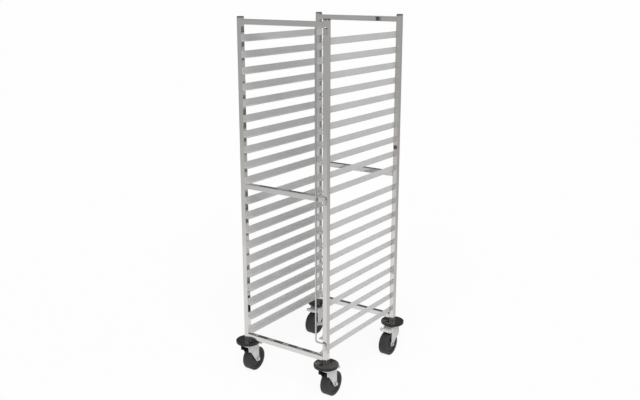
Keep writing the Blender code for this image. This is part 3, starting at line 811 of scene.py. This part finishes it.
def tyre_mesh(material):
    """The tread and its shoulders about X, with two shallow rings on each side."""
    half = WHEEL_WIDTH / 2
    depth = TYRE_RING_DEPTH
    shoulder = (WHEEL_RADIUS - TREAD_SHOULDER, half - TREAD_SHOULDER)
    side = [(TYRE_BORE_RADIUS, 0.0), (TYRE_BORE_RADIUS, half - TYRE_CHAMFER)]
    side += [(TYRE_BORE_RADIUS + TYRE_CHAMFER, half)]
    for ring in TYRE_RINGS:
        side += [(ring, half), (ring + depth, half - depth), (ring + 3 * depth, half - depth)]
        side += [(ring + 4 * depth, half)]
    side += arc(shoulder, TREAD_SHOULDER, math.pi / 2, 0, 10)
    profile = side + [(r, -z) for r, z in reversed(side[1:])]
    shape = bmesh.new()
    turned(shape, profile, steps=144, turn=ALONG_X)
    return mesh_of("tyre", shape, material)


def core_mesh(material):
    """The wheel's centre about X: a bearing in its seal, the hub, and a dished web out to the rim."""
    half = WHEEL_WIDTH / 2
    hub, web = half + HUB_OVERHANG, half - WEB_INSET
    radius, rim = HUB_DIAMETER / 2, CORE_RADIUS - CORE_CHAMFER
    side = [(CORE_BORE_RADIUS, 0.0), (CORE_BORE_RADIUS, hub - BEARING_INSET)]
    side += [(BEARING_RADIUS, hub - BEARING_INSET), (BEARING_RADIUS + SEAL_SLOPE, hub - SEAL_DEPTH)]
    side += [(SEAL_RADIUS - SEAL_SLOPE, hub - SEAL_DEPTH), (SEAL_RADIUS, hub)]
    side += arc((radius - HUB_ROUND, hub - HUB_ROUND), HUB_ROUND, math.pi / 2, 0, 4)
    side += arc((radius + HUB_FILLET, web + HUB_FILLET), HUB_FILLET, math.pi, 1.5 * math.pi, 5)
    side += [(WEB_FLAT_RADIUS, web)]
    side += arc((rim - RIM_FILLET, web + RIM_FILLET), RIM_FILLET, -math.pi / 2, 0, 5)
    side += [(rim, half - CORE_CHAMFER), (CORE_RADIUS, half - CORE_CHAMFER / 2), (CORE_RADIUS, 0.0)]
    profile = side + [(r, -z) for r, z in reversed(side[1:-1])]
    shape = bmesh.new()
    turned(shape, profile, steps=120, turn=ALONG_X)
    return mesh_of("wheel core", shape, material)


def fork_channel():
    """The bent sheet that a fork is cut from: two legs and a crown with round bends."""
    turn_x, turn_z = FORK_OUTER - FORK_BEND_RADIUS, HEAD_Z - FORK_BEND_RADIUS
    inner = FORK_BEND_RADIUS - FORK_SHEET
    section = [(FORK_OUTER, 0)]
    section += arc((turn_x, turn_z), FORK_BEND_RADIUS, 0, math.pi / 2)
    section += arc((-turn_x, turn_z), FORK_BEND_RADIUS, math.pi / 2, math.pi)
    section += [(-FORK_OUTER, 0), (-FORK_INNER, 0)]
    section += arc((-turn_x, turn_z), inner, math.pi, math.pi / 2)
    section += arc((turn_x, turn_z), inner, math.pi / 2, 0)
    section += [(FORK_INNER, 0)]
    shape = bmesh.new()
    drawn(shape, section, FORK_STOCK_LENGTH, ALONG_Y)
    return shape


def fork_mesh(material, tail, shoulder_height, shoulder_length, shoulder_drop):
    """Crown, front lip and legs pressed from sheet, with a shoulder in front and a tail behind the axle."""
    axle = Vector((CASTER_TRAIL, WHEEL_RADIUS))
    shoulder_z = CROWN_Z - shoulder_height
    step = Vector((shoulder_length - FORK_LEAD, shoulder_z - shoulder_drop))
    to_axle = axle - step
    tangent = math.atan2(to_axle.y, to_axle.x) - math.asin(FORK_FOOT_RADIUS / to_axle.length)
    cut_top = HEAD_Z + FORK_CUT_RISE
    outline = [(-FORK_LEAD, cut_top), (-FORK_LEAD, shoulder_z), tuple(step)]
    outline += arc(axle, FORK_FOOT_RADIUS, tangent - math.pi / 2, math.acos(tail / FORK_FOOT_RADIUS), 24)
    outline += [(CASTER_TRAIL + tail, cut_top)]
    side = bmesh.new()
    drawn(side, outline, FORK_CUT_WIDTH, SIDE_VIEW)
    shape = pressed("fork", fork_channel(), [side], "INTERSECT", PRESSED_EDGE, material)
    reach, front = FORK_INNER + CUT_MARGIN, -FORK_LEAD + FORK_LIP_INSET
    low = (-reach, front, CROWN_Z - FORK_LIP)
    high = (reach, front + FORK_SHEET, CROWN_Z + CUT_MARGIN)
    shape.from_mesh(eased_block("lip", low, high, PRESSED_EDGE, material))
    return mesh_of("fork", shape, material, sharp=20.0)


def race_mesh(material):
    """The swivel's ball race: a lower and an upper ring with a dark gap between them."""
    radius = HEAD_DIAMETER / 2
    upper, deep = radius - RACE_UPPER_INSET, radius - RACE_GAP_DEPTH
    low, high = HEAD_Z - RACE_SINK, HEAD_Z + HEAD_HEIGHT
    gap = low + RACE_LOWER_SHARE * HEAD_HEIGHT
    roof = gap + RACE_GAP_HEIGHT
    profile = [(RACE_BORE_RADIUS, low), (radius - EASED_EDGE, low), (radius, low + EASED_EDGE)]
    profile += [(radius, gap - PRESSED_EDGE), (radius - PRESSED_EDGE, gap), (deep, gap), (deep, roof)]
    profile += [(upper - EASED_EDGE, roof), (upper, roof + EASED_EDGE)]
    profile += arc((upper - RACE_ROUND, high - RACE_ROUND), RACE_ROUND, 0, math.pi / 2, 6)
    profile += [(RACE_BORE_RADIUS, high)]
    shape = bmesh.new()
    turned(shape, profile, steps=96)
    return mesh_of("swivel race", shape, material)


def hexagon(shape, height, chamfer):
    """A hexagon along X, as wide as the axle's head, with a chamfer round its far end."""
    narrower, lower = chamfer
    rings = []
    for width, along in (
        (AXLE_HEAD_WIDTH, HEX_FOOT),
        (AXLE_HEAD_WIDTH, height - lower),
        (AXLE_HEAD_WIDTH - narrower, height),
    ):
        corners = arc((0, 0), width / 2, 0, 2 * math.pi, 6)[:-1]
        rings.append([ALONG_X @ Vector((x, y, along)) for x, y in corners])
    loft(shape, rings)


def washer(shape):
    """The washer under a bolt head or a nut."""
    rim = WASHER_RADIUS - WASHER_EDGE
    profile = [(WASHER_BORE_RADIUS, -WASHER_SINK), (rim, -WASHER_SINK), (WASHER_RADIUS, WASHER_MIDDLE)]
    profile += [(rim, WASHER_HEIGHT), (WASHER_BORE_RADIUS, WASHER_HEIGHT)]
    turned(shape, profile, steps=48, turn=ALONG_X)


def bolt_mesh(material):
    """The axle's bolt head, about X from the fork's outer face."""
    shape = bmesh.new()
    hexagon(shape, AXLE_HEAD_HEIGHT, BOLT_CHAMFER)
    washer(shape)
    return mesh_of("axle bolt", shape, material)


def nut_mesh(material):
    """The axle's lock nut with its collar and the end of the thread, about X from the fork's outer face."""
    shape = bmesh.new()
    hexagon(shape, NUT_HEIGHT, NUT_CHAMFER)
    washer(shape)
    narrower, lower = COLLAR_CHAMFER
    collar = [(COLLAR_BORE_RADIUS, COLLAR_FOOT), (COLLAR_RADIUS, COLLAR_FOOT)]
    collar += [(COLLAR_RADIUS - COLLAR_TAPER, COLLAR_TOP - lower), (COLLAR_RADIUS - narrower, COLLAR_TOP)]
    collar += [(COLLAR_BORE_RADIUS, COLLAR_TOP)]
    turned(shape, collar, steps=48, turn=ALONG_X)
    end = AXLE_HEAD_HEIGHT
    thread = [(THREAD_CORE_RADIUS, THREAD_FOOT), (THREAD_RADIUS, THREAD_FOOT)]
    thread += [(THREAD_RADIUS, end - THREAD_CHAMFER), (THREAD_RADIUS - THREAD_CHAMFER, end)]
    thread += [(THREAD_CORE_RADIUS, end)]
    turned(shape, thread, steps=40, turn=ALONG_X)
    return mesh_of("axle nut", shape, material)


def pedal_mesh(material):
    """The brake pedal about its pin: a bent plate with a tongue, turned-down sides and the pin."""
    half = PEDAL_SHEET / 2
    back = CASTER_TRAIL + PEDAL_REACH - PEDAL_PIN_OFFSET
    pad_front = back - PEDAL_PAD_LENGTH
    centre = (back - PEDAL_BEND_RADIUS, half - PEDAL_BEND_RADIUS)
    section = [(-PEDAL_HEEL, half)]
    section += arc(centre, PEDAL_BEND_RADIUS, math.pi / 2, 0)
    section += [(back, -PEDAL_LIP), (back - PEDAL_SHEET, -PEDAL_LIP)]
    section += arc(centre, PEDAL_BEND_RADIUS - PEDAL_SHEET, 0, math.pi / 2)
    section += [(-PEDAL_HEEL, -half)]
    plate = bmesh.new()
    drawn(plate, section, PEDAL_PAD_WIDTH, SIDE_VIEW)
    tongue, clear = FORK_INNER - PEDAL_SIDE_GAP, PEDAL_PAD_WIDTH / 2 + CUT_MARGIN
    notches = []
    for side in (-1, 1):
        left, right = sorted((side * tongue, side * clear))
        notch = bmesh.new()
        low = (left, -PEDAL_HEEL - CUT_MARGIN, -half - CUT_MARGIN)
        block(notch, low, (right, pad_front, half + CUT_MARGIN))
        notches.append(notch)
    shape = pressed("pedal", plate, notches, "DIFFERENCE", PRESSED_EDGE, material)
    outer = PEDAL_PAD_WIDTH / 2 - PEDAL_FLANGE_INSET
    for side in (-1, 1):
        left, right = sorted((side * outer, side * (outer - PEDAL_SHEET)))
        low = (left, pad_front + PEDAL_FLANGE_INSET, -PEDAL_FLANGE)
        shape.from_mesh(eased_block("flange", low, (right, back - half, 0.0), PRESSED_EDGE, material))
    pin = FORK_INNER - PEDAL_PIN_GAP
    swept(shape, [(-pin, 0, 0), (pin, 0, 0)], [PEDAL_PIN_RADIUS] * 2, ROD_SIDES)
    return mesh_of("pedal", shape, material, sharp=20.0)


def shoe_mesh(material):
    """The brake's rubber shoe over the tread, about the pedal's pin."""
    foot = -(PEDAL_PIN_Z - 2 * WHEEL_RADIUS - SHOE_CLEARANCE)
    middle = CASTER_TRAIL - PEDAL_PIN_OFFSET
    low = (-SHOE_WIDTH / 2, middle - SHOE_LENGTH / 2, foot)
    high = (SHOE_WIDTH / 2, middle + SHOE_LENGTH / 2, -PEDAL_SHEET / 2 + SHOE_OVERLAP)
    return eased_block("brake shoe", low, high, SHOE_ROUND, material)


def casters(fork_steel, plated, fastener, tyre, core, plastic):
    """Each caster's pieces, with the bumper above it, from one set of meshes."""
    bumper = bumper_mesh(plastic)
    forks = {end: fork_mesh(fork_steel, *side) for end, side in FORK_SIDES.items()}
    race = race_mesh(plated)
    bolt, nut = bolt_mesh(fastener), nut_mesh(fastener)
    pedal, shoe = pedal_mesh(plated), shoe_mesh(tyre)
    tread, centre = tyre_mesh(tyre), core_mesh(core)
    out = Matrix.Translation((FORK_OUTER, 0, 0))
    flip = Matrix.Rotation(math.pi, 4, "Z")
    for where, pivot in CASTERS:
        axle = pivot @ Matrix.Translation((0, CASTER_TRAIL, WHEEL_RADIUS))
        pin = pivot @ Matrix.Translation((0, PEDAL_PIN_OFFSET, PEDAL_PIN_Z))
        seat = pivot @ Matrix.Translation((0, 0, BUMPER_Z))
        swivel, fork_node = f"swivel_{where}", f"fork_{where}"
        fork = forks[where.split("_")[0]]
        piece(f"bumper_disc_{where}", bumper, "rack", f"bumper_{where}", seat)
        piece(f"caster_fork_{where}", fork, swivel, fork_node, pivot)
        piece(f"swivel_race_{where}", race, swivel, fork_node, pivot)
        piece(f"axle_bolt_{where}", bolt, swivel, fork_node, axle @ out)
        piece(f"axle_nut_{where}", nut, swivel, fork_node, axle @ flip @ out)
        piece(f"tyre_{where}", tread, f"rolling_{where}", f"wheel_{where}", axle)
        piece(f"wheel_core_{where}", centre, f"rolling_{where}", f"wheel_{where}", axle)
        piece(f"pedal_plate_{where}", pedal, f"pedal_{where}", f"brake_pedal_{where}", pin)
        piece(f"brake_shoe_{where}", shoe, f"pedal_{where}", f"brake_pedal_{where}", pin)


def seen_directly(tree):
    """1 for what the camera, a mirror or glass shows, and 0 for light that falls on things."""
    path = add(tree, "LightPath").outputs
    shown = maths(tree, "MAXIMUM", path["Is Camera Ray"], path["Is Glossy Ray"])
    return maths(tree, "MAXIMUM", shown, path["Is Transmission Ray"])


def floor():
    """A matt white floor, part of whose white is its own light."""
    material, tree, shader = new_material("white floor")
    place = add(tree, "TexCoord").outputs["Object"]
    shade = spread(tree, noise(tree, place, scale=0.7, detail=3.0))
    colour = mixed(tree, shade, *[grey(tone) for tone in FLOOR_TONES])
    finish_shader(tree, shader, base_color=colour, roughness=0.9)
    shader.inputs["Specular IOR Level"].default_value = 0.0
    white = add(tree, "Emission", {"Strength": 1.0}).outputs["Emission"]
    share = maths(tree, "MULTIPLY", seen_directly(tree), FLOOR_WHITE)
    both = add(tree, "MixShader", {0: share, 1: shader.outputs["BSDF"], 2: white}).outputs["Shader"]
    tree.links.new(both, tree.nodes["Material Output"].inputs["Surface"])
    shape = bmesh.new()
    bmesh.ops.create_grid(shape, x_segments=4, y_segments=4, size=FLOOR_REACH)
    obj = bpy.data.objects.new("floor", mesh_of("floor", shape, material))
    bpy.context.scene.collection.objects.link(obj)


def ramp(tree, value, stops):
    """A level that runs straight through (value, level) stops."""
    node = add(tree, "ValToRGB", {"Fac": value})
    points = node.color_ramp.elements
    while len(points) < len(stops):
        points.new(0.5)
    for point, (place, level) in zip(points, stops):
        point.position = place
        point.color = (level, level, level, 1.0)
    return node.outputs["Color"]


def dot(tree, vector, direction):
    return add(tree, "VectorMath", {0: vector, 1: direction}, operation="DOT_PRODUCT").outputs["Value"]


def wall_material():
    """The room's grey levels: pale near the floor, and darker above, behind the rack and overhead."""
    material = bpy.data.materials.new("grey studio wall")
    material.use_nodes = True
    tree = material.node_tree
    tree.nodes.clear()
    place = add(tree, "TexCoord").outputs["Object"]
    height = add(tree, "SeparateXYZ", {0: place}).outputs["Z"]
    share = maths(tree, "DIVIDE", height, WALL_HEIGHT)
    near, far = [
        ramp(tree, share, [(z / WALL_HEIGHT, level) for z, level in levels])
        for levels in (WALL_FRONT_LEVELS, WALL_REAR_LEVELS)
    ]
    rear = ranged(tree, dot(tree, place, WALL_REAR), *WALL_REAR_FADE, 0.0, 1.0)
    level = mixed(tree, rear, near, far)
    glow = ranged(tree, dot(tree, place, WALL_BEHIND), *WALL_BEHIND_FADE, 1.0, WALL_BEHIND_LEVEL)
    light = add(tree, "Emission", {"Color": level, "Strength": glow})
    add(tree, "OutputMaterial", {"Surface": light.outputs["Emission"]})
    return material


def studio_wall():
    """A round wall and the floor at its foot that only reflections show: what polished faces mirror."""
    turns = [2 * math.pi * step / WALL_SIDES for step in range(WALL_SIDES)]
    edges = ((WALL_FLOOR_EDGE, WALL_LIFT), (WALL_RADIUS, WALL_LIFT), (WALL_RADIUS, WALL_HEIGHT))
    shape = bmesh.new()
    rings = [[(radius * math.cos(a), radius * math.sin(a), z) for a in turns] for radius, z in edges]
    loft(shape, rings, capped=False)
    obj = bpy.data.objects.new("studio_wall", mesh_of("studio wall", shape, wall_material()))
    bpy.context.scene.collection.objects.link(obj)
    obj.location = WALL_CENTRE
    obj.visible_camera = False
    obj.visible_diffuse = False
    obj.visible_shadow = False


def lights():
    """A white sky that lights things less than it shows, and one soft sun."""
    scene = bpy.context.scene
    world = bpy.data.worlds.new("studio")
    scene.world = world
    world.use_nodes = True
    tree = world.node_tree
    background = tree.nodes["Background"]
    background.inputs["Color"].default_value = (1.0, 1.0, 1.0, 1.0)
    strength = ranged(tree, seen_directly(tree), 0.0, 1.0, SKY_LIGHT, SKY_SHOWN)
    tree.links.new(strength, background.inputs["Strength"])
    sun = bpy.data.lights.new("soft key", "SUN")
    sun.energy = KEY_ENERGY
    sun.angle = KEY_ANGLE
    obj = bpy.data.objects.new("soft_key", sun)
    obj.rotation_euler = (KEY_TILT, 0.0, KEY_TURN)
    scene.collection.objects.link(obj)


def camera():
    scene = bpy.context.scene
    data = bpy.data.cameras.new("camera")
    data.lens = CAMERA_LENS
    data.sensor_width = CAMERA_SENSOR
    data.clip_end = CAMERA_FAR
    obj = bpy.data.objects.new("camera", data)
    obj.location = CAMERA_PLACE
    obj.rotation_euler = (CAMERA_TILT, 0.0, CAMERA_TURN)
    scene.collection.objects.link(obj)
    scene.camera = obj
    scene.view_settings.view_transform = "Standard"


def main():
    upright_steel = steel(
        "polished upright steel", tone=0.66, roughness=0.035, grain=(700.0, 700.0, 5.0), warmth=0.03
    )
    bar_steel = steel(
        "polished bar steel", tone=0.66, roughness=0.035, grain=(5.0, 700.0, 700.0), warmth=0.02
    )
    runner_steel = steel(
        "brushed runner steel",
        tone=0.62,
        roughness=0.45,
        grain=(600.0, 4.0, 600.0),
        metallic=0.3,
        scuffs=0.4,
    )
    rod_steel = steel("bright rod steel", tone=0.60, roughness=0.2, grain=(500.0, 500.0, 6.0))
    weld = weld_metal("tinted weld metal")
    frames(upright_steel, bar_steel, rubber("dark grey cap plastic", tone=0.085, dust=0.2), weld)
    eyes(rod_steel, weld)
    runners(runner_steel, weld)
    bail(rod_steel, weld)
    casters(
        zinc("zinc-plated fork steel", tone=0.605, hollow=True),
        zinc("zinc-plated pressed steel", tone=0.63),
        steel("plated fastener steel", tone=0.60, roughness=0.3, grain=(300.0, 300.0, 300.0)),
        rubber("dark grey tyre rubber", tone=0.015, dust=0.3),
        rubber("dark grey wheel core", tone=0.010, dust=0.15),
        bumper_plastic("black bumper plastic"),
    )
    floor()
    studio_wall()
    lights()
    camera()


main()
